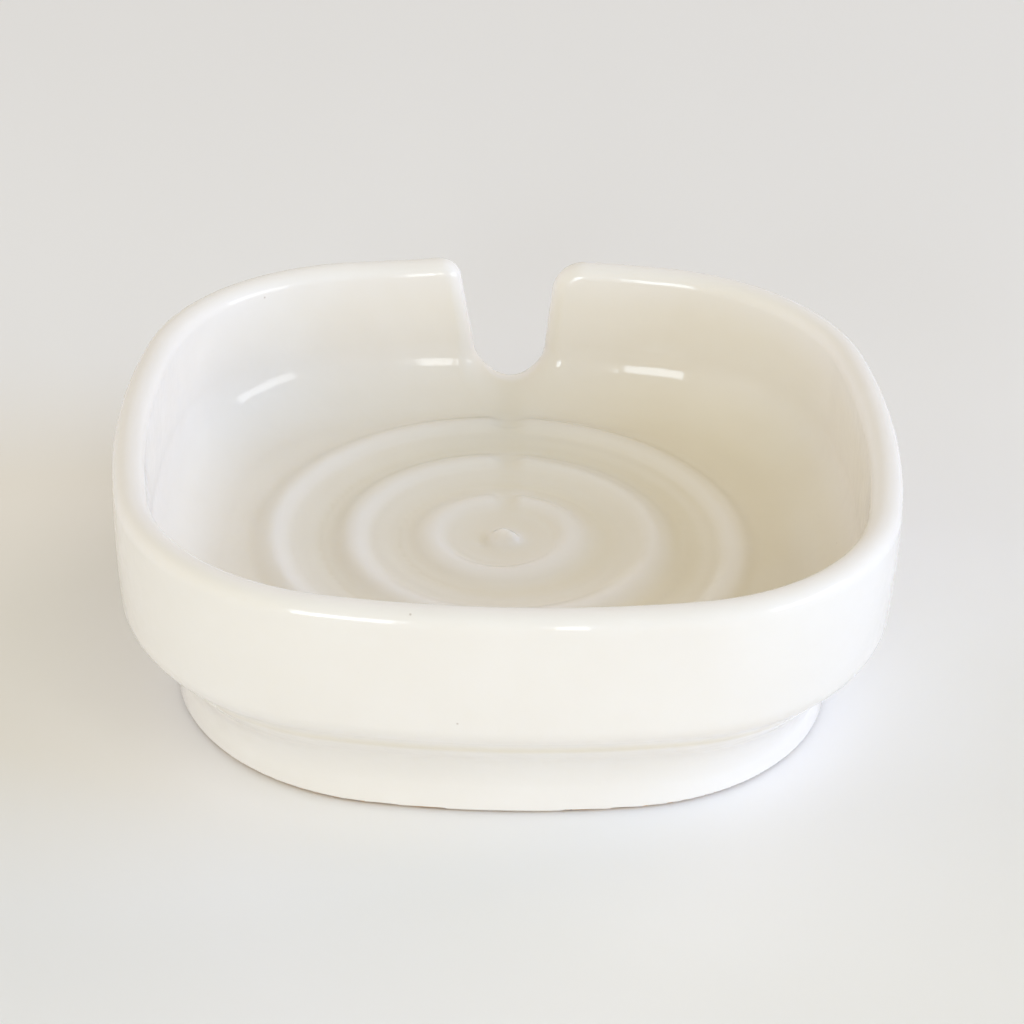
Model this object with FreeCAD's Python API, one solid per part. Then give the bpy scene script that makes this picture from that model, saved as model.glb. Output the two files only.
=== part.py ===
import FreeCAD, Part
import math
import os
from FreeCAD import Vector

# A glazed stoneware soap dish: a squared bowl on a turned foot, with a drain notch in the back wall
# and thrown rings on the floor. +X is right, +Y is the back with the notch, and +Z is up.
# The origin is at the middle of the face that the foot stands on.

# Driving dimensions in millimetres and degrees

# Plan of the bowl at its widest
body_width = 120.0
body_depth = 115.0
side_bow_radius = 140.0
end_bow_radius = 148.0
corner_radius = 38.0

# Section of the bowl's wall
body_height = 41.0
wall_thickness = 4.8
rim_flat = 1.0
widest_height = 34.5
wall_bulge_radius = 150.0
lower_turn_rise = 4.5
lower_turn_radius = 6.0
underside_slope = 45.0
inner_wall_draft = 2.0

# Floor and its thrown rings
floor_height = 16.4
floor_turn_radius = 9.0
ring_offset_back = 1.5
inner_ring_radius = 11.0
ring_pitch = 12.5
ring_margin = 0.5
ring_height = 2.0
ring_crest_radius = 2.4
ring_valley_radius = 2.4
nub_height = 2.6
nub_tip_radius = 1.5
nub_root_radius = 2.0

# Drain notch in the back wall and the channel that leads to it
notch_sill_rise = 2.0
notch_bottom_radius = 6.2
notch_side_lean = 8.0
notch_left_corner_radius = 3.0
notch_right_corner_radius = 5.0
channel_radius = 2.2
channel_depth = 0.9
channel_start = 5.5

# Foot
foot_side_inset = 8.5
foot_end_inset = 10.7
foot_side_bow_radius = 92.0
foot_end_bow_radius = 130.0
foot_corner_radius = 36.0
foot_side_run = 8.0
foot_crease_radius = 2.0
foot_edge_radius = 0.8
foot_ring_width = 7.5
recess_depth = 8.5
recess_turn_radius = 2.5

# Glaze
glaze_thickness = 0.5
bare_foot_height = 1.2

# How far a cut runs past the piece that it cuts, and how close a point on a surface lies to it
overrun = 10.0
touch = 1.0e-4

UP = Vector(0, 0, 1)


def polar(radius, angle):
    """Return a plan vector of this length at this angle in degrees."""
    return Vector(radius * math.cos(math.radians(angle)), radius * math.sin(math.radians(angle)), 0)


def squared_outline(width, depth, side_bow, end_bow, corner):
    """Return the eight tangent arcs of a squared outline as (centre, radius, start, sweep)."""
    side_centre = Vector(width / 2 - side_bow, 0, 0)
    end_centre = Vector(0, depth / 2 - end_bow, 0)
    side_reach = side_bow - corner
    end_reach = end_bow - corner
    span = end_centre - side_centre
    along = (side_reach ** 2 - end_reach ** 2 + span.Length ** 2) / (2 * span.Length)
    across = math.sqrt(side_reach ** 2 - along ** 2)
    line = Vector(span).normalize()
    corner_centre = side_centre + line * along + Vector(-line.y, line.x, 0) * across
    side_half = math.degrees(math.atan2(corner_centre.y, corner_centre.x - side_centre.x))
    end_start = math.degrees(math.atan2(corner_centre.y - end_centre.y, corner_centre.x))
    end_half = 90 - end_start
    corner_sweep = end_start - side_half
    quarter_corners = [
        (corner_centre, side_half),
        (Vector(-corner_centre.x, corner_centre.y, 0), 90 + end_half),
        (Vector(-corner_centre.x, -corner_centre.y, 0), 180 + side_half),
        (Vector(corner_centre.x, -corner_centre.y, 0), 270 + end_half),
    ]
    bows = [
        (end_centre, end_bow, 90 - end_half, 2 * end_half),
        (Vector(-side_centre.x, 0, 0), side_bow, 180 - side_half, 2 * side_half),
        (Vector(0, -end_centre.y, 0), end_bow, 270 - end_half, 2 * end_half),
        (side_centre, side_bow, -side_half, 2 * side_half),
    ]
    arcs = []
    for (centre, start), bow in zip(quarter_corners, bows):
        arcs.append((centre, corner, start, corner_sweep))
        arcs.append(bow)
    return arcs


def body_outline():
    """The plan of the bowl at its widest."""
    return squared_outline(body_width, body_depth, side_bow_radius, end_bow_radius, corner_radius)


def foot_outline():
    """The plan of the foot, rounder than the bowl; its corners leave a run of each side between them."""
    width = body_width - 2 * foot_side_inset
    depth = body_depth - 2 * foot_end_inset
    corner = min(foot_corner_radius, min(width, depth) / 2 - foot_side_run)
    return squared_outline(width, depth, foot_side_bow_radius, foot_end_bow_radius, corner)


def widest_foot_inset():
    """How far the foot lies inside the bowl's outline at its corners, where it is furthest in."""
    bowl_centre, bowl_corner = body_outline()[0][:2]
    foot_centre, foot_corner = foot_outline()[0][:2]
    return bowl_corner - foot_corner + bowl_centre.distanceToPoint(foot_centre)


def outline_wire(arcs, inset, height):
    """Return the closed wire of an outline, moved inwards by inset, at this height."""
    edges = []
    for centre, radius, start, sweep in arcs:
        points = []
        for share in (0.0, 0.5, 1.0):
            points.append(centre + polar(radius - inset, start + share * sweep) + UP * height)
        edges.append(Part.Arc(*points).toShape())
    return Part.Wire(edges)


def swept_faces(arcs, section):
    """Carry a section, drawn with its outline at x = 0 and inside at -x, around an outline."""
    faces = []
    for centre, radius, start, sweep in arcs:
        placed = section.copy()
        placed.translate(centre + Vector(radius, 0, 0))
        placed.rotate(centre, UP, start)
        faces.extend(placed.revolve(centre, UP, sweep).Faces)
    return faces


def sewn_solid(faces):
    """Close faces that share all their edges into one solid."""
    skin = Part.Compound(faces)
    skin.sewShape()
    solid = Part.Solid(skin.Shells[0])
    if solid.Volume < 0:
        solid.reverse()
    return solid


def section_point(centre, radius, angle):
    """Return the point of a section arc; an angle of 0 faces outwards and 90 faces up."""
    turn = math.radians(angle)
    return centre + Vector(radius * math.cos(turn), 0, radius * math.sin(turn))


def section_arc(centre, radius, start, end):
    """Return an arc of a section between two angles in degrees."""
    angles = (start, (start + end) / 2, end)
    return Part.Arc(*[section_point(centre, radius, angle) for angle in angles]).toShape()


def outer_section(skin):
    """The outside of the bowl from the rim down to a sloped underside that ends inside the foot."""
    bulge_centre = Vector(-wall_bulge_radius, 0, widest_height)
    bulge = wall_bulge_radius - skin
    top_angle = math.degrees(math.asin((body_height - skin - widest_height) / bulge))
    bulge_end_height = floor_height + lower_turn_rise
    end_angle = -math.degrees(math.asin((widest_height - bulge_end_height) / wall_bulge_radius))
    turn_centre = section_point(bulge_centre, wall_bulge_radius - lower_turn_radius, end_angle)
    turn = lower_turn_radius - skin
    slope_angle = underside_slope - 90
    slope_start = section_point(turn_centre, turn, slope_angle)
    inner_end = widest_foot_inset() + foot_crease_radius
    run = inner_end + slope_start.x
    drop = run * math.tan(math.radians(underside_slope))
    slope_end = slope_start - Vector(run, 0, drop)
    edges = [
        section_arc(bulge_centre, bulge, top_angle, end_angle),
        section_arc(turn_centre, turn, end_angle, slope_angle),
        Part.LineSegment(slope_start, slope_end).toShape(),
    ]
    return Part.Wire(edges), section_point(bulge_centre, bulge, top_angle), slope_end


def outer_form(skin):
    """The bowl as a full solid, without its cavity."""
    arcs = body_outline()
    section, top, bottom = outer_section(skin)
    faces = swept_faces(arcs, section)
    faces.append(Part.Face(outline_wire(arcs, -top.x, top.z)))
    faces.append(Part.Face(outline_wire(arcs, -bottom.x, bottom.z)))
    return sewn_solid(faces)


def foot_form(skin):
    """The turned foot as a full solid that reaches up into the bowl."""
    base = Part.Face(outline_wire(foot_outline(), skin, 0))
    block = base.extrude(UP * (floor_height + lower_turn_rise))
    lower_edges = [edge for edge in block.Edges if edge.BoundBox.ZMax < touch]
    return block.makeFillet(foot_edge_radius, lower_edges)


def inner_section(skin):
    """The inside of the wall from above the rim down to the plain floor."""
    draft = math.radians(inner_wall_draft)
    floor = floor_height - skin
    rim_inside = Vector(-wall_thickness, 0, body_height)
    outward = Vector(math.cos(draft), 0, -math.sin(draft))
    downward = Vector(-math.sin(draft), 0, -math.cos(draft))
    wall_start = rim_inside + outward * skin - downward * overrun
    turn_height = floor_height + floor_turn_radius
    touch_height = turn_height - floor_turn_radius * math.sin(draft)
    drop = (body_height - touch_height) / math.cos(draft)
    wall_touch = rim_inside + downward * drop
    turn_centre = wall_touch - outward * floor_turn_radius
    turn = floor_turn_radius + skin
    edges = [
        Part.LineSegment(wall_start, wall_touch + outward * skin).toShape(),
        section_arc(turn_centre, turn, -inner_wall_draft, -90),
    ]
    return Part.Wire(edges), wall_start, Vector(turn_centre.x, 0, floor)


def ring_half_width():
    """The plan distance from a ring's crest to where it runs out on the floor."""
    reach = ring_crest_radius + ring_valley_radius
    fall = reach - ring_height
    return math.sqrt(reach ** 2 - fall ** 2)


def ring_radii():
    """The crest radii of as many rings as the plain floor holds."""
    floor_inset = -inner_section(0)[2].x
    floor_half = min(body_width, body_depth) / 2 - floor_inset
    outer = floor_half - ring_offset_back - ring_half_width() - ring_margin
    radii = [inner_ring_radius]
    while radii[-1] + ring_pitch < outer:
        radii.append(radii[-1] + ring_pitch)
    return radii


def bump_edges(radius, height, crest, valley, skin):
    """A rounded ridge of the floor as four tangent arcs, from its inner foot to its outer foot."""
    reach = crest + valley
    fall = height - reach
    swing = math.sqrt(reach ** 2 - fall ** 2)
    tilt = math.degrees(math.atan2(fall, swing))
    crest_centre = Vector(radius, 0, floor_height + height - crest)
    inner_centre = Vector(radius - swing, 0, floor_height + valley)
    outer_centre = Vector(radius + swing, 0, floor_height + valley)
    rise = [
        section_arc(inner_centre, valley + skin, -90, tilt),
        section_arc(crest_centre, crest - skin, 180 + tilt, 90),
    ]
    fall_away = [
        section_arc(crest_centre, crest - skin, 90, -tilt),
        section_arc(outer_centre, valley + skin, 180 - tilt, 270),
    ]
    return rise, fall_away


def floor_faces(skin):
    """The ringed middle of the floor, turned about its own centre, and the radius where it ends."""
    floor = floor_height - skin
    edges = bump_edges(0, nub_height, nub_tip_radius, nub_root_radius, skin)[1]
    for radius in ring_radii():
        rise, fall_away = bump_edges(radius, ring_height, ring_crest_radius, ring_valley_radius, skin)
        valley_start = edges[-1].Vertexes[-1].Point
        valley_end = rise[0].Vertexes[0].Point
        edges.append(Part.LineSegment(valley_start, valley_end).toShape())
        edges.extend(rise + fall_away)
    plate_radius = edges[-1].Vertexes[-1].Point.x
    section = Part.Wire(edges)
    section.translate(Vector(0, ring_offset_back, 0))
    return section.revolve(Vector(0, ring_offset_back, floor), UP, 360).Faces, plate_radius


def cavity_form(skin):
    """The space inside the bowl, from the ringed floor to above the rim."""
    arcs = body_outline()
    section, top, bottom = inner_section(skin)
    rings, plate_radius = floor_faces(skin)
    faces = swept_faces(arcs, section) + rings
    faces.append(Part.Face(outline_wire(arcs, -top.x, top.z)))
    plate_edge = Part.Circle(Vector(0, ring_offset_back, bottom.z), UP, plate_radius).toShape()
    plate = Part.Face(Part.Wire(plate_edge))
    faces.extend(Part.Face(outline_wire(arcs, -bottom.x, bottom.z)).cut(plate).Faces)
    return sewn_solid(faces)


def notch_side(corner, skin):
    """Half of the notch outline on the +X side: bottom end, side end, corner middle and corner end."""
    lean = math.radians(notch_side_lean)
    bottom_centre = Vector(0, 0, floor_height + notch_sill_rise + notch_bottom_radius)
    outward = Vector(math.cos(lean), 0, -math.sin(lean))
    side_start = bottom_centre + outward * notch_bottom_radius
    corner_height = body_height - corner
    corner_x = side_start.x + (corner + (corner_height - side_start.z) * math.sin(lean)) / math.cos(lean)
    corner_centre = Vector(corner_x, 0, corner_height)
    turn = corner - skin
    return [
        bottom_centre + outward * (notch_bottom_radius + skin),
        corner_centre - outward * turn,
        section_point(corner_centre, turn, (180 - notch_side_lean + 90) / 2),
        section_point(corner_centre, turn, 90),
    ]


def mirrored(points):
    """Return the points on the other side of the YZ plane."""
    return [Vector(-point.x, point.y, point.z) for point in points]


def notch_form(skin):
    """The U-shaped drain notch with corners that roll over into the rim."""
    right = notch_side(notch_right_corner_radius, skin)
    left = mirrored(notch_side(notch_left_corner_radius, skin))
    bottom = Vector(0, 0, floor_height + notch_sill_rise - skin)
    lid = UP * overrun
    edges = [
        Part.Arc(left[0], bottom, right[0]).toShape(),
        Part.LineSegment(right[0], right[1]).toShape(),
        Part.Arc(right[1], right[2], right[3]).toShape(),
        Part.LineSegment(right[3], right[3] + lid).toShape(),
        Part.LineSegment(right[3] + lid, left[3] + lid).toShape(),
        Part.LineSegment(left[3] + lid, left[3]).toShape(),
        Part.Arc(left[3], left[2], left[1]).toShape(),
        Part.LineSegment(left[1], left[0]).toShape(),
    ]
    face = Part.Face(Part.Wire(edges))
    start = body_depth / 2 + inner_section(0)[2].x
    face.translate(Vector(0, start, 0))
    return face.extrude(Vector(0, body_depth / 2 + overrun - start, 0))


def channel_form(skin):
    """The round-bottomed drain channel from beside the nub out through the notch."""
    radius = channel_radius + skin
    axis_height = floor_height - channel_depth + channel_radius
    start = Vector(0, ring_offset_back + channel_start, axis_height)
    length = body_depth / 2 + overrun - start.y
    rise = floor_height + ring_height + overrun - axis_height
    trough = Part.makeCylinder(radius, length, start, Vector(0, 1, 0))
    slot = Part.makeBox(2 * radius, length, rise, start - Vector(radius, 0, 0))
    end_trough = Part.makeSphere(radius, start)
    end_slot = Part.makeCylinder(radius, rise, start, UP)
    return trough.multiFuse([slot, end_trough, end_slot])


def recess_form(skin):
    """The hollow that the foot ring stands around."""
    depth = recess_depth + skin
    base = Part.Face(outline_wire(foot_outline(), foot_ring_width - skin, -overrun))
    block = base.extrude(UP * (depth + overrun))
    upper_edges = [edge for edge in block.Edges if edge.BoundBox.ZMin > depth - touch]
    return block.makeFillet(recess_turn_radius + skin, upper_edges)


def middle_of(edge):
    """Return the point halfway along an edge."""
    return edge.valueAt((edge.FirstParameter + edge.LastParameter) / 2)


def lies_on(point, faces):
    """Say whether a point lies on one of these faces."""
    return Part.Vertex(point).distToShape(Part.Compound(faces))[0] < touch


def crease_edges(body, outer, foot):
    """The edges where the foot meets the underside of the bowl."""
    creases = []
    for edge in body.Edges:
        point = middle_of(edge)
        if lies_on(point, outer.Faces) and lies_on(point, foot.Faces):
            creases.append(edge)
    return creases


def lip_edges(body, notch, skin):
    """The edges where the top of the rim and the notch meet the two faces of the wall."""
    arcs = body_outline()
    walls = swept_faces(arcs, outer_section(skin)[0]) + swept_faces(arcs, inner_section(skin)[0])
    lips = []
    for edge in body.Edges:
        point = middle_of(edge)
        on_lip = point.z > body_height - skin - touch or lies_on(point, notch.Faces)
        if on_lip and lies_on(point, walls):
            lips.append(edge)
    return lips


def dish_form(skin):
    """The whole dish, with every surface moved inwards by skin except the face it stands on."""
    outer = outer_form(skin)
    foot = foot_form(skin)
    body = outer.fuse(foot)
    body = body.makeFillet(foot_crease_radius + skin, crease_edges(body, outer, foot))
    notch = notch_form(skin)
    body = body.cut(cavity_form(skin)).cut(notch)
    rim_radius = (wall_thickness - rim_flat) / 2 - skin
    body = body.makeFillet(rim_radius, lip_edges(body, notch, skin))
    return body.cut(channel_form(skin)).cut(recess_form(skin))


def bare_foot_slab():
    """The layer at the bottom where the glaze was wiped off, so that the foot doesn't stick in the kiln."""
    corner = Vector(-body_width, -body_depth, bare_foot_height - overrun)
    return Part.makeBox(2 * body_width, 2 * body_depth, overrun, corner)


def main():
    """Write the fired clay and the two coats of glaze that the bare foot ring keeps apart."""
    stoneware_body = dish_form(glaze_thickness)
    glaze = dish_form(0).cut(stoneware_body).cut(bare_foot_slab())
    underside_glaze, glaze_coat = sorted(glaze.Solids, key=lambda solid: solid.Volume)
    nodes = {
        "stoneware_body": stoneware_body,
        "glaze_coat": glaze_coat,
        "underside_glaze": underside_glaze,
    }
    os.makedirs("parts", exist_ok=True)
    for name, shape in nodes.items():
        shape.exportStep("parts/" + name + ".step")
        print(name, shape.isValid(), len(shape.Solids), round(shape.Volume))


main()
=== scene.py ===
import math

import bpy
import numpy as np
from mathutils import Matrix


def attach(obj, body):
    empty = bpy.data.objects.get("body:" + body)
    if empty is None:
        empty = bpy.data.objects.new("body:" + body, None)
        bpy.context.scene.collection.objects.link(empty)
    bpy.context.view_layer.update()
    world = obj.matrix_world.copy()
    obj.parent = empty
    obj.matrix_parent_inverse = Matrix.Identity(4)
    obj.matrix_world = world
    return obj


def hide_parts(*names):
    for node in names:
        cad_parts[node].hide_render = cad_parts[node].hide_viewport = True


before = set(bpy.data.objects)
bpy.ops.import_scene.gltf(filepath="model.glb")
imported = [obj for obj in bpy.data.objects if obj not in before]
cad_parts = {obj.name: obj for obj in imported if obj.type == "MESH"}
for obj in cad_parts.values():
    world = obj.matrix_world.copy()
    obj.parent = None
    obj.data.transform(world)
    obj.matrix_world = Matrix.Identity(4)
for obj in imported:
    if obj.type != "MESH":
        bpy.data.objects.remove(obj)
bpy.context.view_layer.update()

import openvdb
from mathutils import Matrix, Vector

# A glazed stoneware soap dish on a pale ground. The glaze and the clay are worked out as distance fields
# from nearly the same outlines and sections as the solids, and are then turned into meshes. Lengths of
# the dish are in millimetres, and those of the surfaces and the room are in metres.

MILLIMETRE = 0.001

# Plan of the bowl at its widest
BODY_WIDTH = 119.96
BODY_DEPTH = 114.86
SIDE_BOW_RADIUS = 140.0
END_BOW_RADIUS = 148.0
CORNER_RADIUS = 38.0

# Section of the wall
BODY_HEIGHT = 41.0
WALL_THICKNESS = 4.8
RIM_RADIUS = 2.3
SILL_RADIUS = 3.6
SILL_ROUND_REACH = 9.0
WIDEST_HEIGHT = 34.5
WALL_BULGE_RADIUS = 150.0
LOWER_TURN_RISE = 5.4
LOWER_TURN_RADIUS = 5.5
UNDERSIDE_SLOPE = 48.0
INNER_WALL_DRAFT = 2.0

# Waves round the dish, made by hand: height, number of lobes and turn
RIM_WAVES = ((0.10, 2, 0.6), (0.07, 3, -1.0))
RING_WAVES = ((0.25, 2, 1.3), (0.15, 3, 2.1))
GLAZE_LINE_WAVES = ((0.14, 1, 3.6), (0.05, 5, 0.0))

# Top of the rim
RIM_DROP = 0.38
FRONT_RIM_RISE = 0.3
FRONT_RIM_RANGE = (20.0, 50.0)
NOTCH_LIP_RISE = 0.35
NOTCH_LIP_LEFT = 9.5
NOTCH_LIP_WIDTH = 5.0
NOTCH_LIP_RANGE = (30.0, 45.0)

# Floor and rings
FLOOR_HEIGHT = 16.4
FLOOR_TURN_RADIUS = 10.0
RING_CENTRE_BACK = 3.8
RING_CENTRES = (-0.6, -0.2, 0.15)
RING_RADII = (11.0, 23.8, 36.7)
BEAD_HEIGHT = 0.7
BEAD_OUTER_WIDTH = 4.0
BEAD_INNER_WIDTH = 3.2
SLOPE_HEIGHT = 0.5
SLOPE_OUTER_WIDTH = 6.4
SLOPE_INNER_WIDTH = 9.0

# Throwing lines, which start at an inner radius and end past the last ring
LINE_HEIGHT = 0.035
LINE_PITCH = 2.9
LINE_LEAST_SHARE = 0.4
LINE_CLEAR_REACH = 20.0
LINE_START = (6.0, 9.0)
LINE_RUN_OUT = 5.0

# Lumps in the middle of the floor: place, radius and height, or depth where it is negative
NUB_LUMPS = (
    ((0.3, 3.4), 2.5, 1.2),
    ((-0.5, 4.0), 1.4, 0.8),
    ((1.3, 2.4), 1.2, 1.0),
    ((-3.3, 2.6), 1.4, -0.35),
)

# Notch
NOTCH_SILL_CENTRE = 1.2
NOTCH_TOP_CENTRE = 0.2
NOTCH_SILL_RISE = 3.4
NOTCH_BOTTOM_RADIUS = 6.2
NOTCH_SIDE_LEAN = 8.0
NOTCH_LEFT_CORNER_RADIUS = 3.0
NOTCH_RIGHT_CORNER_RADIUS = 5.0
NOTCH_START = 42.6

# Channel: its middle and half width at the start and at the end, and its sides in half widths
CHANNEL_DEPTH = 0.1
CHANNEL_START = 8.0
CHANNEL_RUN_IN = 4.0
CHANNEL_END = 45.0
CHANNEL_MIDDLE = (0.2, 1.0)
CHANNEL_HALF_WIDTH = (1.8, 2.5)
CHANNEL_SIDES = (0.1, 1.6)

# Foot
FOOT_SIDE_INSET = 8.5
FOOT_END_INSET = 10.7
FOOT_SIDE_BOW_RADIUS = 92.0
FOOT_END_BOW_RADIUS = 130.0
FOOT_CORNER_RADIUS = 36.0
FOOT_CREASE_FILL = 2.8
FOOT_EDGE_RADIUS = 0.4
FOOT_LIFT = 0.01
FOOT_RING_WIDTH = 7.5
RECESS_DEPTH = 8.5
RECESS_TURN_RADIUS = 2.5

# Coat of glaze
GLAZE_THICKNESS = 0.5
GLAZE_LINE = 0.32
GLAZE_EDGE_RADIUS = 0.3
GLAZE_TUCK = 0.6

# Pooling of the glaze, with painted shade and a painted highlight carried along with it: shares, and the
# lengths over which they come and go
POOL_REACH = 1.6
POOL_CREASE = 0.35
# Inside, the wall goes creamier towards the bottom: partly glaze run down, partly painted shade
INSIDE_POOL_AND_SHADE = 0.14
POOL_FLOOR = 0.07
POOL_VALLEY = 0.15
POOL_OUTER_SHARE = 0.6
POOL_CHANNEL = 0.07
# Painted shade: the inside is made creamier and darker towards the right
PAINTED_SHADE_LEAN_RIGHT = 0.5
# Towards the front the floor is darker and creamier: painted shade under the front wall, and a pooled
# smudge at the front left
SHADE_AND_STAIN_LEAN_FRONT = 0.6
CREST_BARE = 0.17
# Painted highlight: the glaze over the nub is made whiter where light falls on it
NUB_PAINTED_LIGHT = 0.8
INSIDE_START_SHARE = 0.4
INSIDE_HEIGHTS = (14.0, 15.8)
OUTER_FLOOR_REACH = 6.0
FLOOR_POOL_RISE = (1.5, 8.0)
WALL_POOL_DROP = (1.0, 9.0)

# Colours
GLAZE_STOPS = (
    (0.10, (0.905, 0.872, 0.847)),
    (0.33, (0.865, 0.828, 0.792)),
    (0.58, (0.805, 0.745, 0.63)),
    (0.90, (0.64, 0.565, 0.40)),
)
GLAZE_CLOUD = (0.98, 0.975, 0.965)
SPECK_COLOUR = (0.30, 0.20, 0.12)
CLAY_STOPS = ((0.3, (0.58, 0.39, 0.25)), (0.7, (0.69, 0.51, 0.36)))
GRIT_COLOUR = (0.22, 0.13, 0.08)
# Painted shade: the ground is lighter at the front and darker towards the back
GROUND_PAINT_AND_SHADE_STOPS = ((0.0, (0.885, 0.87, 0.855)), (1.0, (0.82, 0.81, 0.80)))
ROOM_COLOUR = (0.42, 0.36, 0.18)
BACKDROP_COLOUR = (0.78, 0.77, 0.755)

# Surfaces: scales are in waves to the metre
POOL_RANGE = (-0.5, 1.0)
NOISE_RANGE = (0.3, 0.7)
CLOUD_SCALE = 70.0
SMEAR_SCALE = 220.0
PEEL_SCALE = 420.0
PEEL_HEIGHT = 0.00003
GLAZE_ROUGHNESS = (0.06, 0.11)
SPECKS_PER_METRE = 150.0
SPECK_RADIUS = 0.035
SPECK_CORE_SHARE = 0.4
SPECK_SPARSENESS = 0.78
SPECK_STRENGTH = 0.4
TOAST_SCALE = 160.0
GRAIN_SCALE = 2500.0
GRAIN_HEIGHT = 0.0001
CLAY_ROUGHNESS = (0.75, 0.95)
GRIT_PER_METRE = 900.0
GRIT_RADIUS = 0.3

# Ground
GROUND_HALF_SIZE = 1.2
GROUND_FRONT = -0.25
GROUND_BACK = 0.25
GROUND_ROUGHNESS = 0.7

# Lamps: angles are in degrees round the dish, from the right side, and up from the ground
LAMP_DISTANCE = 2.0
LAMP_TARGET = (0.0, 0.0, 0.02)
LIGHT_LEVEL = 0.925

# Windows: name, direction, width, elevation, height, power and colour
WINDOWS = (
    ("right_window", 341.0, 38.0, 14.0, 18.0, 9.8, (0.94, 0.97, 1.0)),
    ("front_window", 278.5, 4.0, 12.0, 22.0, 2.2, (0.95, 0.98, 1.0)),
    ("left_window", 248.0, 19.0, 13.0, 22.0, 12.0, (0.76, 0.87, 1.0)),
)

# Soft lamps: name, direction, elevation, power and colour
SOFT_WIDTH = 33.4
SOFT_HEIGHT = 25.4
SOFT_LAMPS = (
    ("cool_right", 350.0, 28.0, 18.5, (0.21, 0.47, 1.0)),
    ("back_right", 35.0, 25.0, 11.7, (1.0, 0.92, 0.98)),
    ("front_high", 290.0, 50.0, 9.0, (0.93, 0.95, 1.0)),
    ("left_side", 180.0, 25.0, 8.6, (0.84, 0.90, 1.0)),
    ("back_left", 135.0, 25.0, 9.4, (0.59, 0.62, 1.0)),
)

# Camera
CAMERA_PLACE = (-0.0085, -0.38866, 0.25617)
CAMERA_TARGET = (0.00102, 0.0, 0.02371)
CAMERA_ROLL = -0.0316
SENSOR_WIDTH = 36.0
FOCAL_LENGTH_PIXELS = 2895.2
PHOTO_WIDTH_PIXELS = 1024

# Mesh
CELL = 0.7
CLAY_CELL = 1.0
FOOT_CELL = 0.3
FOOT_FINE_HEIGHT = 3.0
MARGIN = 3.0
SLOPE_STEP = 0.05
LEAST_STEEPNESS = 0.1
SETTLE_PASSES = 3
RELAX_PASSES = 3


def rounded_and(first, second, radius):
    """Distance to where two forms overlap, with the edge between them rounded."""
    out_first = first + radius
    out_second = second + radius
    inside = np.minimum(np.maximum(out_first, out_second), 0.0)
    return inside + np.hypot(np.maximum(out_first, 0.0), np.maximum(out_second, 0.0)) - radius


def rounded_or(first, second, radius):
    """Distance to two forms together, with the corner between them filled."""
    near_first = np.maximum(radius - first, 0.0)
    near_second = np.maximum(radius - second, 0.0)
    return np.maximum(np.minimum(first, second), radius) - np.hypot(near_first, near_second)


def fade(value, start, end):
    """Go smoothly from 0 at start to 1 at end."""
    share = np.clip((value - start) / (end - start), 0.0, 1.0)
    return share * share * (3.0 - 2.0 * share)


def between(ends, share):
    """The value this share of the way from the first end to the second."""
    return ends[0] + (ends[1] - ends[0]) * share


def hump(offset, inner_width, outer_width):
    """A smooth hump that is 1 in the middle and falls to 0 over one width inwards and one outwards."""
    width = np.where(offset < 0, inner_width, outer_width)
    return 0.5 + 0.5 * np.cos(np.pi * np.clip(np.abs(offset) / width, 0.0, 1.0))


def mound(x, y, place, radius):
    """A smooth mound that is 1 at its place and fades out over about this radius."""
    return np.exp(-((x - place[0]) ** 2 + (y - place[1]) ** 2) / radius ** 2)


def waves(angle, rows, turns=1):
    """Sum of a few waves round the dish, with their turns taken this many times."""
    return sum(height * np.sin(lobes * angle + turn * turns) for height, lobes, turn in rows)


def plan_distance(x, y, width, depth, side_bow, end_bow, corner):
    """Distance outside a squared outline of eight tangent arcs, negative inside."""
    across = np.abs(x)
    along = np.abs(y)
    side = width / 2 - side_bow
    end = depth / 2 - end_bow
    side_reach = side_bow - corner
    end_reach = end_bow - corner
    span = math.hypot(side, end)
    share = (side_reach ** 2 - end_reach ** 2 + span ** 2) / (2 * span)
    offset = math.sqrt(side_reach ** 2 - share ** 2)
    line_x = -side / span
    line_y = end / span
    corner_x = side + line_x * share - line_y * offset
    corner_y = line_y * share + line_x * offset
    to_side = np.hypot(across - side, along) - side_bow
    to_end = np.hypot(across, along - end) - end_bow
    to_corner = np.hypot(across - corner_x, along - corner_y) - corner
    on_side = (corner_x - side) * along - corner_y * (across - side) < 0
    on_end = corner_x * (along - end) - (corner_y - end) * across > 0
    straight = np.where(on_side & on_end, np.maximum(to_side, to_end), np.where(on_side, to_side, to_end))
    return np.where(on_side | on_end, straight, to_corner)


def body_plan(x, y):
    """Plan distance from the bowl's outline at its widest."""
    return plan_distance(x, y, BODY_WIDTH, BODY_DEPTH, SIDE_BOW_RADIUS, END_BOW_RADIUS, CORNER_RADIUS)


def foot_plan(x, y):
    """Plan distance from the foot's outline."""
    width = BODY_WIDTH - 2 * FOOT_SIDE_INSET
    depth = BODY_DEPTH - 2 * FOOT_END_INSET
    return plan_distance(x, y, width, depth, FOOT_SIDE_BOW_RADIUS, FOOT_END_BOW_RADIUS, FOOT_CORNER_RADIUS)


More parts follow.
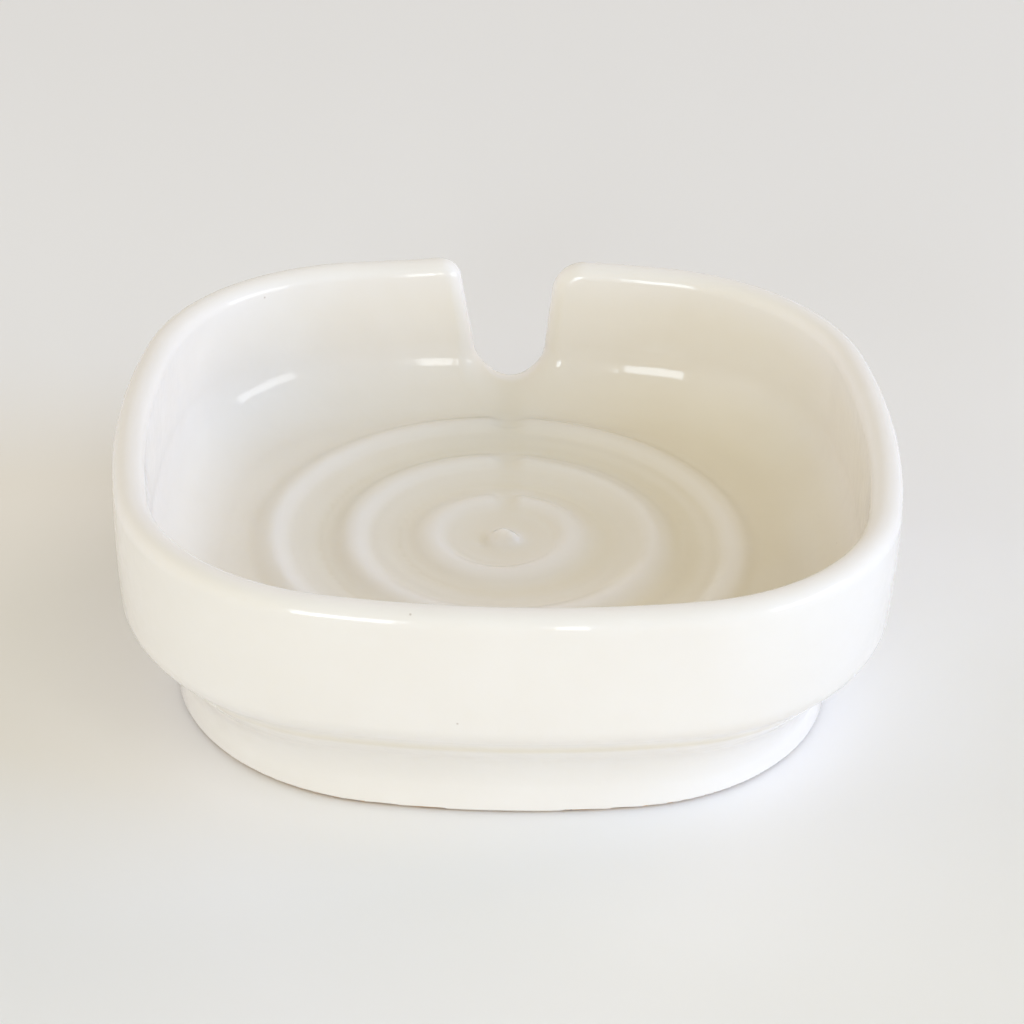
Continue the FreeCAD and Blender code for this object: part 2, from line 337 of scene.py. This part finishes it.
def outside_distance(x, y, z, inset):
    """Distance outside the bowl and its foot, as if they were full."""
    bulge = np.hypot(inset + WALL_BULGE_RADIUS, z - WIDEST_HEIGHT) - WALL_BULGE_RADIUS
    bulge_end = FLOOR_HEIGHT + LOWER_TURN_RISE
    end_angle = -math.asin((WIDEST_HEIGHT - bulge_end) / WALL_BULGE_RADIUS)
    turn_reach = WALL_BULGE_RADIUS - LOWER_TURN_RADIUS
    turn_inset = turn_reach * math.cos(end_angle) - WALL_BULGE_RADIUS
    turn_height = WIDEST_HEIGHT + turn_reach * math.sin(end_angle)
    slope_angle = math.radians(UNDERSIDE_SLOPE - 90)
    outward = math.cos(slope_angle)
    downward = math.sin(slope_angle)
    underside = (inset - turn_inset) * outward + (z - turn_height) * downward - LOWER_TURN_RADIUS
    turn = np.hypot(inset - turn_inset, z - turn_height) - LOWER_TURN_RADIUS
    turn_angle = np.arctan2(z - turn_height, inset - turn_inset)
    on_turn = (turn_angle > slope_angle) & (turn_angle < end_angle)
    bowl = np.where(on_turn, turn, np.maximum(bulge, underside))
    foot = np.maximum(foot_plan(x, y), z - FLOOR_HEIGHT)
    return rounded_or(bowl, foot, FOOT_CREASE_FILL)


def ring_shares(x, y):
    """Shares of the rings' full height here: of the bead on each crest and of the slope up to it."""
    along = y - RING_CENTRE_BACK
    angle = np.arctan2(along, x)
    bead = np.zeros_like(angle)
    slope = np.zeros_like(angle)
    for index, (centre, crest) in enumerate(zip(RING_CENTRES, RING_RADII)):
        offset = np.hypot(x - centre, along) - crest - waves(angle, RING_WAVES, index)
        bead = np.maximum(bead, hump(offset, BEAD_INNER_WIDTH, BEAD_OUTER_WIDTH))
        slope = np.maximum(slope, hump(offset, SLOPE_INNER_WIDTH, SLOPE_OUTER_WIDTH))
    return bead, slope


def throwing_lines(x, y):
    """Height of the fine lines that the thrower's fingertips left, clearest to the right."""
    along = y - RING_CENTRE_BACK
    radius = np.hypot(x, along)
    spiral = radius / LINE_PITCH + np.arctan2(along, x) / (2 * np.pi)
    clear = between((LINE_LEAST_SHARE, 1.0), fade(x, -LINE_CLEAR_REACH, LINE_CLEAR_REACH))
    ends = fade(radius, *LINE_START) * (1.0 - fade(radius, RING_RADII[-1], RING_RADII[-1] + LINE_RUN_OUT))
    return LINE_HEIGHT * clear * ends * np.sin(2 * np.pi * spiral)


def channel_share(x, y):
    """1 in the middle of the drain channel, which widens towards the notch, and 0 outside it."""
    along = fade(y, CHANNEL_START, CHANNEL_END)
    across = np.abs(x - between(CHANNEL_MIDDLE, along)) / between(CHANNEL_HALF_WIDTH, along)
    return fade(y, CHANNEL_START, CHANNEL_START + CHANNEL_RUN_IN) * (1.0 - fade(across, *CHANNEL_SIDES))


def nub_height(x, y):
    """The twisted nub that the thrower's fingers left in the middle, with a dimple beside it."""
    return sum(height * mound(x, y, place, radius) for place, radius, height in NUB_LUMPS)


def floor_surface(x, y):
    """Height of the ringed floor, with the channel cut through the rings."""
    bead, slope = ring_shares(x, y)
    channel = channel_share(x, y)
    rings = BEAD_HEIGHT * bead * (1.0 - channel) + SLOPE_HEIGHT * slope
    return FLOOR_HEIGHT + rings + throwing_lines(x, y) - CHANNEL_DEPTH * channel + nub_height(x, y)


def cavity_distance(x, y, z, inset):
    """Distance outside the space that the soap lies in."""
    draft = math.radians(INNER_WALL_DRAFT)
    wall = (inset + WALL_THICKNESS) * math.cos(draft) - (z - BODY_HEIGHT) * math.sin(draft)
    floor = floor_surface(x, y) - z
    return rounded_and(wall, floor, FLOOR_TURN_RADIUS)


def notch_centre(z):
    """Middle of the drain notch, which leans a little to the left as it rises."""
    sill = FLOOR_HEIGHT + NOTCH_SILL_RISE
    rise = np.clip((z - sill) / (BODY_HEIGHT - sill), 0.0, 1.0)
    return between((NOTCH_SILL_CENTRE, NOTCH_TOP_CENTRE), rise)


def notch_distance(x, z):
    """Distance outside the U of the drain notch, seen from the front."""
    lean = math.radians(NOTCH_SIDE_LEAN)
    across = np.abs(x - notch_centre(z))
    up = z - (FLOOR_HEIGHT + NOTCH_SILL_RISE + NOTCH_BOTTOM_RADIUS)
    side = across * math.cos(lean) - up * math.sin(lean) - NOTCH_BOTTOM_RADIUS
    bottom = np.hypot(across, up) - NOTCH_BOTTOM_RADIUS
    above = across * math.sin(lean) + up * math.cos(lean) > 0
    return np.where(above, side, bottom)


def rim_height(x, y):
    """The top of the rim, uneven from throwing, higher along the front and to the left of the notch."""
    unevenness = waves(np.arctan2(y, x), RIM_WAVES)
    lip = np.exp(-((x + NOTCH_LIP_LEFT) / NOTCH_LIP_WIDTH) ** 2) * fade(y, *NOTCH_LIP_RANGE)
    front = fade(-y, *FRONT_RIM_RANGE)
    return BODY_HEIGHT - RIM_DROP + unevenness + NOTCH_LIP_RISE * lip + FRONT_RIM_RISE * front


def rim_distance(x, y, z):
    """Distance past the edge of the wall: over the rim or into the notch."""
    over = z - rim_height(x, y)
    into_notch = -np.maximum(notch_distance(x, z), NOTCH_START - y)
    left = rounded_and(over, into_notch, NOTCH_LEFT_CORNER_RADIUS)
    right = rounded_and(over, into_notch, NOTCH_RIGHT_CORNER_RADIUS)
    return np.where(x < notch_centre(z), left, right)


def dish_distance(points):
    """Distance outside the glazed dish, with a full foot that goes on below the ground."""
    x, y, z = points[..., 0], points[..., 1], points[..., 2]
    inset = body_plan(x, y)
    wall = np.maximum(outside_distance(x, y, z, inset), -cavity_distance(x, y, z, inset))
    sill = FLOOR_HEIGHT + NOTCH_SILL_RISE
    at_sill = 1.0 - fade(z, sill, sill + SILL_ROUND_REACH)
    radius = between((RIM_RADIUS, SILL_RADIUS), at_sill)
    return rounded_and(wall, rim_distance(x, y, z), radius)


def glaze_line(x, y):
    """The height where the glaze was wiped off the foot, a little uneven."""
    return GLAZE_LINE + waves(np.arctan2(y, x), GLAZE_LINE_WAVES)


def coat_distance(points):
    """Distance outside the glazed dish above the line where the glaze ends, as if it were all glaze."""
    below = glaze_line(points[..., 0], points[..., 1]) - points[..., 2]
    return rounded_and(dish_distance(points), below, GLAZE_EDGE_RADIUS)


def clay_distance(points):
    """Distance outside the fired clay, which lies under the glaze and stands on its bare foot ring."""
    x, y, z = points[..., 0], points[..., 1], points[..., 2]
    under_glaze = dish_distance(points) + GLAZE_THICKNESS
    standing = rounded_and(under_glaze, FOOT_LIFT - z, FOOT_EDGE_RADIUS)
    recess_plan = foot_plan(x, y) + FOOT_RING_WIDTH - GLAZE_THICKNESS
    recess_depth = z - RECESS_DEPTH - GLAZE_THICKNESS
    recess = rounded_and(recess_plan, recess_depth, RECESS_TURN_RADIUS + GLAZE_THICKNESS)
    return rounded_and(standing, -recess, FOOT_EDGE_RADIUS)


def slope_of(distance, points):
    """The gradient of a distance field."""
    slopes = []
    for axis in range(3):
        step = np.zeros(3)
        step[axis] = SLOPE_STEP
        slopes.append((distance(points + step) - distance(points - step)) / (2 * SLOPE_STEP))
    return np.stack(slopes, axis=-1)


def settle(distance, points):
    """Move points onto the surface of a distance field."""
    for _ in range(SETTLE_PASSES):
        slope = slope_of(distance, points)
        steepness = np.maximum((slope ** 2).sum(axis=-1, keepdims=True), LEAST_STEEPNESS)
        points = points - distance(points)[..., None] * slope / steepness
    return points


def relax(distance, points, quads):
    """Even out the mesh along its surface, moving each point halfway to the middle of its neighbours."""
    starts = quads.ravel()
    ends = np.roll(quads, -1, axis=1).ravel()
    count = len(points)
    links = np.bincount(starts, minlength=count) + np.bincount(ends, minlength=count)
    for _ in range(RELAX_PASSES):
        total = np.zeros_like(points)
        for axis in range(3):
            total[:, axis] += np.bincount(starts, weights=points[ends, axis], minlength=count)
            total[:, axis] += np.bincount(ends, weights=points[starts, axis], minlength=count)
        points = settle(distance, 0.5 * points + 0.5 * total / links[:, None])
    return points


def ticks(start, end, cell):
    """Evenly spaced places from start to at least end."""
    return start + cell * np.arange(int(math.ceil((end - start) / cell)) + 1)


def sampling_axes(cell):
    """Places along the three axes to sample a distance field at, finer in height near the foot."""
    half_width = BODY_WIDTH / 2 + MARGIN
    half_depth = BODY_DEPTH / 2 + MARGIN
    near_foot = ticks(-MARGIN, FOOT_FINE_HEIGHT, FOOT_CELL)
    above_foot = ticks(near_foot[-1] + cell, BODY_HEIGHT + MARGIN, cell)
    heights = np.concatenate([near_foot, above_foot])
    return ticks(-half_width, half_width, cell), ticks(-half_depth, half_depth, cell), heights


def polygonise(distance, cell):
    """Turn a distance field, sampled in cells of this size, into points and quads on its surface."""
    axes = sampling_axes(cell)
    grid_points = np.stack(np.meshgrid(*axes, indexing="ij"), axis=-1)
    values = distance(grid_points).astype(np.float32)
    grid = openvdb.FloatGrid(float(values.max()))
    grid.copyFromArray(values)
    found, quads = grid.convertToQuads(0.0)
    found = np.asarray(found, dtype=float)
    quads = np.asarray(quads, dtype=np.int64)
    places = [np.interp(found[:, axis], np.arange(len(axes[axis])), axes[axis]) for axis in range(3)]
    points = settle(distance, np.stack(places, axis=-1))
    return relax(distance, points, quads), quads


def outward_normals(distance, points):
    """Unit normals of a distance field's surface."""
    slopes = slope_of(distance, points)
    return slopes / np.linalg.norm(slopes, axis=1, keepdims=True)


def glaze_pooling_and_painted_light(points, normals):
    """How much glaze has run into each hollow and down the bowl, and, below 0, off each edge, together with
    painted shade down the inner wall, to the right and towards the front, and a painted highlight on the
    nub.
    """
    outside = dish_distance(points + POOL_REACH * normals) / POOL_REACH
    inside = dish_distance(points - POOL_REACH * normals) / POOL_REACH
    x, y, z = points[:, 0], points[:, 1], points[:, 2]
    past_rim = fade(-body_plan(x, y), INSIDE_START_SHARE * WALL_THICKNESS, WALL_THICKNESS)
    within = past_rim * fade(z, *INSIDE_HEIGHTS)
    in_hollow = np.clip(1.0 - outside, 0.0, 1.0) * between((POOL_CREASE, 1.0), within)
    off_edge = np.clip(1.0 + inside, 0.0, 1.0)
    bead, slope = ring_shares(x, y)
    channel = channel_share(x, y)
    past_rings = np.hypot(x, y - RING_CENTRE_BACK) - RING_RADII[-1]
    share = between((1.0, POOL_OUTER_SHARE), fade(past_rings, 0.0, OUTER_FLOOR_REACH))
    valley = POOL_VALLEY * share * (1.0 - slope) ** 2 - CREST_BARE * bead * (1.0 - channel)
    nub_place, nub_radius, _ = NUB_LUMPS[0]
    # Painted highlight: the glaze is whitened over the nub, where light falls on it
    nub_painted_light = NUB_PAINTED_LIGHT * mound(x, y, nub_place, nub_radius)
    low = 1.0 - fade(z - FLOOR_HEIGHT, *FLOOR_POOL_RISE)
    on_floor = low * (POOL_FLOOR + valley + POOL_CHANNEL * channel - nub_painted_light)
    # Glaze run down the inner wall, together with painted shade towards the bottom inside
    down_wall_pool_and_shade = INSIDE_POOL_AND_SHADE * fade(BODY_HEIGHT - z, *WALL_POOL_DROP)
    # Painted shade: creamier and darker towards the right side of the inside
    painted_shade_lean_right = 1.0 + PAINTED_SHADE_LEAN_RIGHT * x / (BODY_WIDTH / 2)
    # Floor darker towards the front: painted shade under the front wall, and a pooled smudge at the front
    # left
    shade_and_stain_lean_front = 1.0 - SHADE_AND_STAIN_LEAN_FRONT * y / (BODY_DEPTH / 2)
    return in_hollow - off_edge + within * painted_shade_lean_right * (down_wall_pool_and_shade + shade_and_stain_lean_front * on_floor)


def build_piece(name, distance, points, quads, pooling_and_painted_light=None):
    """Make a smooth piece in metres from points in millimetres, with its pooling and painted light if it
    has any.
    """
    used, quads = np.unique(quads, return_inverse=True)
    quads = quads.reshape(-1, 4)
    points = points[used]
    normals = outward_normals(distance, points)
    first = points[quads[:, 1]] - points[quads[:, 0]]
    second = points[quads[:, 2]] - points[quads[:, 0]]
    facing = (np.cross(first, second) * normals[quads[:, 0]]).sum()
    if facing < 0:
        quads = quads[:, ::-1]
    mesh = bpy.data.meshes.new(name)
    mesh.from_pydata((points * MILLIMETRE).tolist(), [], quads.tolist())
    mesh.polygons.foreach_set("use_smooth", np.ones(len(quads), dtype=bool))
    mesh.normals_split_custom_set_from_vertices(normals.tolist())
    if pooling_and_painted_light:
        # The attribute holds glaze pooling together with painted shade and a painted highlight
        pool_and_painted_light = mesh.attributes.new("pool_and_painted_light", "FLOAT", "POINT")
        pool_and_painted_light.data.foreach_set("value", pooling_and_painted_light(points, normals).astype(np.float32))
    piece = bpy.data.objects.new(name, mesh)
    bpy.context.scene.collection.objects.link(piece)
    return piece


def glaze_coat():
    """The coat of glaze over the whole dish, with its rolled edge above the bare foot."""
    points, quads = polygonise(coat_distance, CELL)
    centres = points[quads].mean(axis=1)
    under = dish_distance(centres) < -GLAZE_TUCK
    at_line = centres[:, 2] < glaze_line(centres[:, 0], centres[:, 1]) + 0.5 * CELL
    return build_piece("glaze_skin", coat_distance, points, quads[~(under & at_line)], glaze_pooling_and_painted_light)


def clay_body():
    """The fired clay, finest near the bare foot ring, which is all that shows of it."""
    points, quads = polygonise(clay_distance, CLAY_CELL)
    return build_piece("clay_form", clay_distance, points, quads)


def new_material(name):
    """An empty node material with its shader and output."""
    material = bpy.data.materials.new(name)
    material.use_nodes = True
    nodes = material.node_tree.nodes
    nodes.clear()
    output = nodes.new("ShaderNodeOutputMaterial")
    shader = nodes.new("ShaderNodeBsdfPrincipled")
    material.node_tree.links.new(shader.outputs["BSDF"], output.inputs["Surface"])
    return material, nodes, material.node_tree.links, shader


def add_texture(nodes, links, kind, **settings):
    """Add a texture in the object's own space and set its sockets by name."""
    coordinates = nodes.new("ShaderNodeTexCoord")
    texture = nodes.new(kind)
    for socket, value in settings.items():
        texture.inputs[socket.title()].default_value = value
    links.new(coordinates.outputs["Object"], texture.inputs["Vector"])
    return texture


def add_noise(nodes, links, scale, detail):
    """Noise with this many waves to the metre."""
    return add_texture(nodes, links, "ShaderNodeTexNoise", scale=scale, detail=detail).outputs["Fac"]


def add_math(nodes, links, operation, first, second):
    """Work out one value from a socket and a second socket or a fixed value."""
    node = nodes.new("ShaderNodeMath")
    node.operation = operation
    links.new(first, node.inputs[0])
    if isinstance(second, bpy.types.NodeSocket):
        links.new(second, node.inputs[1])
    else:
        node.inputs[1].default_value = second
    return node.outputs["Value"]


def add_range(nodes, links, source, before, after):
    """Map a value from one range to another."""
    node = nodes.new("ShaderNodeMapRange")
    links.new(source, node.inputs["Value"])
    node.inputs["From Min"].default_value = before[0]
    node.inputs["From Max"].default_value = before[1]
    node.inputs["To Min"].default_value = after[0]
    node.inputs["To Max"].default_value = after[1]
    return node.outputs["Result"]


def add_ramp(nodes, links, source, stops):
    """Turn a value into a colour along a few stops."""
    node = nodes.new("ShaderNodeValToRGB")
    links.new(source, node.inputs["Fac"])
    elements = node.color_ramp.elements
    while len(elements) < len(stops):
        elements.new(1.0)
    for element, (place, colour) in zip(elements, stops):
        element.position = place
        element.color = (*colour, 1.0)
    return node.outputs["Color"]


def add_mix(nodes, links, share, first, second, blend="MIX"):
    """Mix two colours, each a socket or a fixed colour, by a share."""
    node = nodes.new("ShaderNodeMix")
    node.data_type = "RGBA"
    node.blend_type = blend
    wanted = (("Factor_Float", share), ("A_Color", first), ("B_Color", second))
    sockets = {socket.identifier: socket for socket in node.inputs}
    for name, value in wanted:
        if isinstance(value, bpy.types.NodeSocket):
            links.new(value, sockets[name])
        elif isinstance(value, tuple):
            sockets[name].default_value = (*value, 1.0)
        else:
            sockets[name].default_value = value
    return next(socket for socket in node.outputs if socket.identifier == "Result_Color")


def add_bump(nodes, links, height, distance, shader):
    """Raise the surface a little by a height."""
    node = nodes.new("ShaderNodeBump")
    node.inputs["Distance"].default_value = distance
    links.new(height, node.inputs["Height"])
    links.new(node.outputs["Normal"], shader.inputs["Normal"])


def add_specks(nodes, links, per_metre, radius):
    """Sparse round specks, 1 in a speck and 0 elsewhere."""
    cells = add_texture(nodes, links, "ShaderNodeTexVoronoi", scale=per_metre)
    edge = (SPECK_CORE_SHARE * radius, radius)
    spot = add_range(nodes, links, cells.outputs["Distance"], edge, (1.0, 0.0))
    chance = nodes.new("ShaderNodeSeparateColor")
    links.new(cells.outputs["Color"], chance.inputs["Color"])
    kept = add_math(nodes, links, "GREATER_THAN", chance.outputs["Red"], SPECK_SPARSENESS)
    return add_math(nodes, links, "MULTIPLY", spot, kept)


def white_glaze():
    """Glossy warm white glaze, thin and white on edges, creamy where it pools and where shade is painted,
    whiter on the nub as a painted highlight, with a few iron specks.
    """
    material, nodes, links, shader = new_material("white_glaze")
    pool_and_painted_light = nodes.new("ShaderNodeAttribute")
    pool_and_painted_light.attribute_name = "pool_and_painted_light"
    # Glaze thickness together with painted shade and a painted highlight, as one value
    thickness_and_painted_light = add_range(nodes, links, pool_and_painted_light.outputs["Fac"], POOL_RANGE, (0.0, 1.0))
    colour = add_ramp(nodes, links, thickness_and_painted_light, GLAZE_STOPS)
    cloud = add_noise(nodes, links, CLOUD_SCALE, detail=3.0)
    tint = add_ramp(nodes, links, cloud, ((NOISE_RANGE[0], GLAZE_CLOUD), (NOISE_RANGE[1], (1.0, 1.0, 1.0))))
    colour = add_mix(nodes, links, 1.0, colour, tint, "MULTIPLY")
    specks = add_specks(nodes, links, SPECKS_PER_METRE, SPECK_RADIUS)
    speck_share = add_range(nodes, links, specks, (0.0, 1.0), (0.0, SPECK_STRENGTH))
    colour = add_mix(nodes, links, speck_share, colour, SPECK_COLOUR)
    links.new(colour, shader.inputs["Base Color"])
    smear = add_noise(nodes, links, SMEAR_SCALE, detail=2.0)
    links.new(add_range(nodes, links, smear, NOISE_RANGE, GLAZE_ROUGHNESS), shader.inputs["Roughness"])
    peel = add_noise(nodes, links, PEEL_SCALE, detail=1.0)
    add_bump(nodes, links, peel, PEEL_HEIGHT, shader)
    return material


def bare_clay():
    """Unglazed buff clay with a toasted, gritty surface."""
    material, nodes, links, shader = new_material("bare_clay")
    toast = add_noise(nodes, links, TOAST_SCALE, detail=4.0)
    colour = add_ramp(nodes, links, toast, CLAY_STOPS)
    grit = add_specks(nodes, links, GRIT_PER_METRE, GRIT_RADIUS)
    colour = add_mix(nodes, links, grit, colour, GRIT_COLOUR)
    links.new(colour, shader.inputs["Base Color"])
    links.new(add_range(nodes, links, toast, NOISE_RANGE, CLAY_ROUGHNESS), shader.inputs["Roughness"])
    grain = add_noise(nodes, links, GRAIN_SCALE, detail=2.0)
    add_bump(nodes, links, grain, GRAIN_HEIGHT, shader)
    return material


def ground_paint():
    """Matt pale paint, made a little darker towards the back by painted shade."""
    material, nodes, links, shader = new_material("floor")
    coordinates = nodes.new("ShaderNodeTexCoord")
    split = nodes.new("ShaderNodeSeparateXYZ")
    links.new(coordinates.outputs["Object"], split.inputs["Vector"])
    share = add_range(nodes, links, split.outputs["Y"], (GROUND_FRONT, GROUND_BACK), (0.0, 1.0))
    links.new(add_ramp(nodes, links, share, GROUND_PAINT_AND_SHADE_STOPS), shader.inputs["Base Color"])
    shader.inputs["Roughness"].default_value = GROUND_ROUGHNESS
    return material


def pale_ground():
    """The plain pale ground that the dish stands on."""
    half = GROUND_HALF_SIZE
    corners = [(-half, -half, 0), (half, -half, 0), (half, half, 0), (-half, half, 0)]
    mesh = bpy.data.meshes.new("floor")
    mesh.from_pydata(corners, [], [(0, 1, 2, 3)])
    floor = bpy.data.objects.new("floor", mesh)
    bpy.context.scene.collection.objects.link(floor)
    mesh.materials.append(ground_paint())


def area_light(name, place, width, height, power, colour, shows):
    """A soft rectangular light that points at the dish and may show in glossy surfaces."""
    data = bpy.data.lights.new(name, "AREA")
    data.shape = "RECTANGLE"
    data.size = width
    data.size_y = height
    data.energy = LIGHT_LEVEL * power
    data.color = colour
    light = bpy.data.objects.new(name, data)
    bpy.context.scene.collection.objects.link(light)
    light.location = place
    light.visible_camera = False
    light.visible_glossy = shows
    light.rotation_euler = (Vector(LAMP_TARGET) - Vector(place)).to_track_quat("-Z", "Y").to_euler()


def lamp(name, azimuth, elevation, width, height, power, colour, shows):
    """A far lamp that spans these angles, seen from the dish, and may show in the glaze."""
    around = math.radians(azimuth)
    up = math.radians(elevation)
    level = LAMP_DISTANCE * math.cos(up)
    place = (level * math.cos(around), level * math.sin(around), LAMP_DISTANCE * math.sin(up))
    across = 2 * LAMP_DISTANCE * math.tan(math.radians(width / 2))
    tall = 2 * LAMP_DISTANCE * math.tan(math.radians(height / 2))
    area_light(name, place, across, tall, power, colour, shows)


def backdrop():
    """The room: dim and warm as a light, and pale where it is seen, straight or in the glaze."""
    world = bpy.data.worlds.new("studio")
    bpy.context.scene.world = world
    world.use_nodes = True
    nodes = world.node_tree.nodes
    links = world.node_tree.links
    rays = nodes.new("ShaderNodeLightPath")
    seen = rays.outputs["Is Camera Ray"]
    for kind in ("Is Glossy Ray", "Is Transmission Ray"):
        seen = add_math(nodes, links, "MAXIMUM", seen, rays.outputs[kind])
    colour = add_mix(nodes, links, seen, ROOM_COLOUR, BACKDROP_COLOUR)
    links.new(colour, nodes["Background"].inputs["Color"])


def studio():
    """The room with three low windows, which show in the glaze, and soft lamps, which don't."""
    backdrop()
    for name, azimuth, width, elevation, height, power, colour in WINDOWS:
        lamp(name, azimuth, elevation, width, height, power, colour, True)
    for name, azimuth, elevation, power, colour in SOFT_LAMPS:
        lamp(name, azimuth, elevation, SOFT_WIDTH, SOFT_HEIGHT, power, colour, False)


def camera():
    """The camera of the photo, 0.45 m away and 31 degrees up."""
    place = Vector(CAMERA_PLACE)
    back = (place - Vector(CAMERA_TARGET)).normalized()
    right = Vector((0, 0, 1)).cross(back).normalized()
    up = back.cross(right)
    rolled_right = right * math.cos(CAMERA_ROLL) - up * math.sin(CAMERA_ROLL)
    rolled_up = right * math.sin(CAMERA_ROLL) + up * math.cos(CAMERA_ROLL)
    data = bpy.data.cameras.new("camera")
    data.sensor_width = SENSOR_WIDTH
    data.lens = FOCAL_LENGTH_PIXELS / PHOTO_WIDTH_PIXELS * SENSOR_WIDTH
    eye = bpy.data.objects.new("camera", data)
    bpy.context.scene.collection.objects.link(eye)
    turn = Matrix((rolled_right, rolled_up, back)).transposed().to_4x4()
    eye.matrix_world = Matrix.Translation(place) @ turn
    bpy.context.scene.camera = eye


glaze = white_glaze()
clay = bare_clay()
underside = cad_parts["underside_glaze"].data
underside.materials.clear()
underside.materials.append(glaze)

coat = glaze_coat()
coat.data.materials.append(glaze)
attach(coat, "root")
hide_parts("glaze_coat")

body = clay_body()
body.data.materials.append(clay)
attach(body, "root")
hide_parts("stoneware_body")

pale_ground()
studio()
camera()
bpy.context.scene.view_settings.view_transform = "Standard"
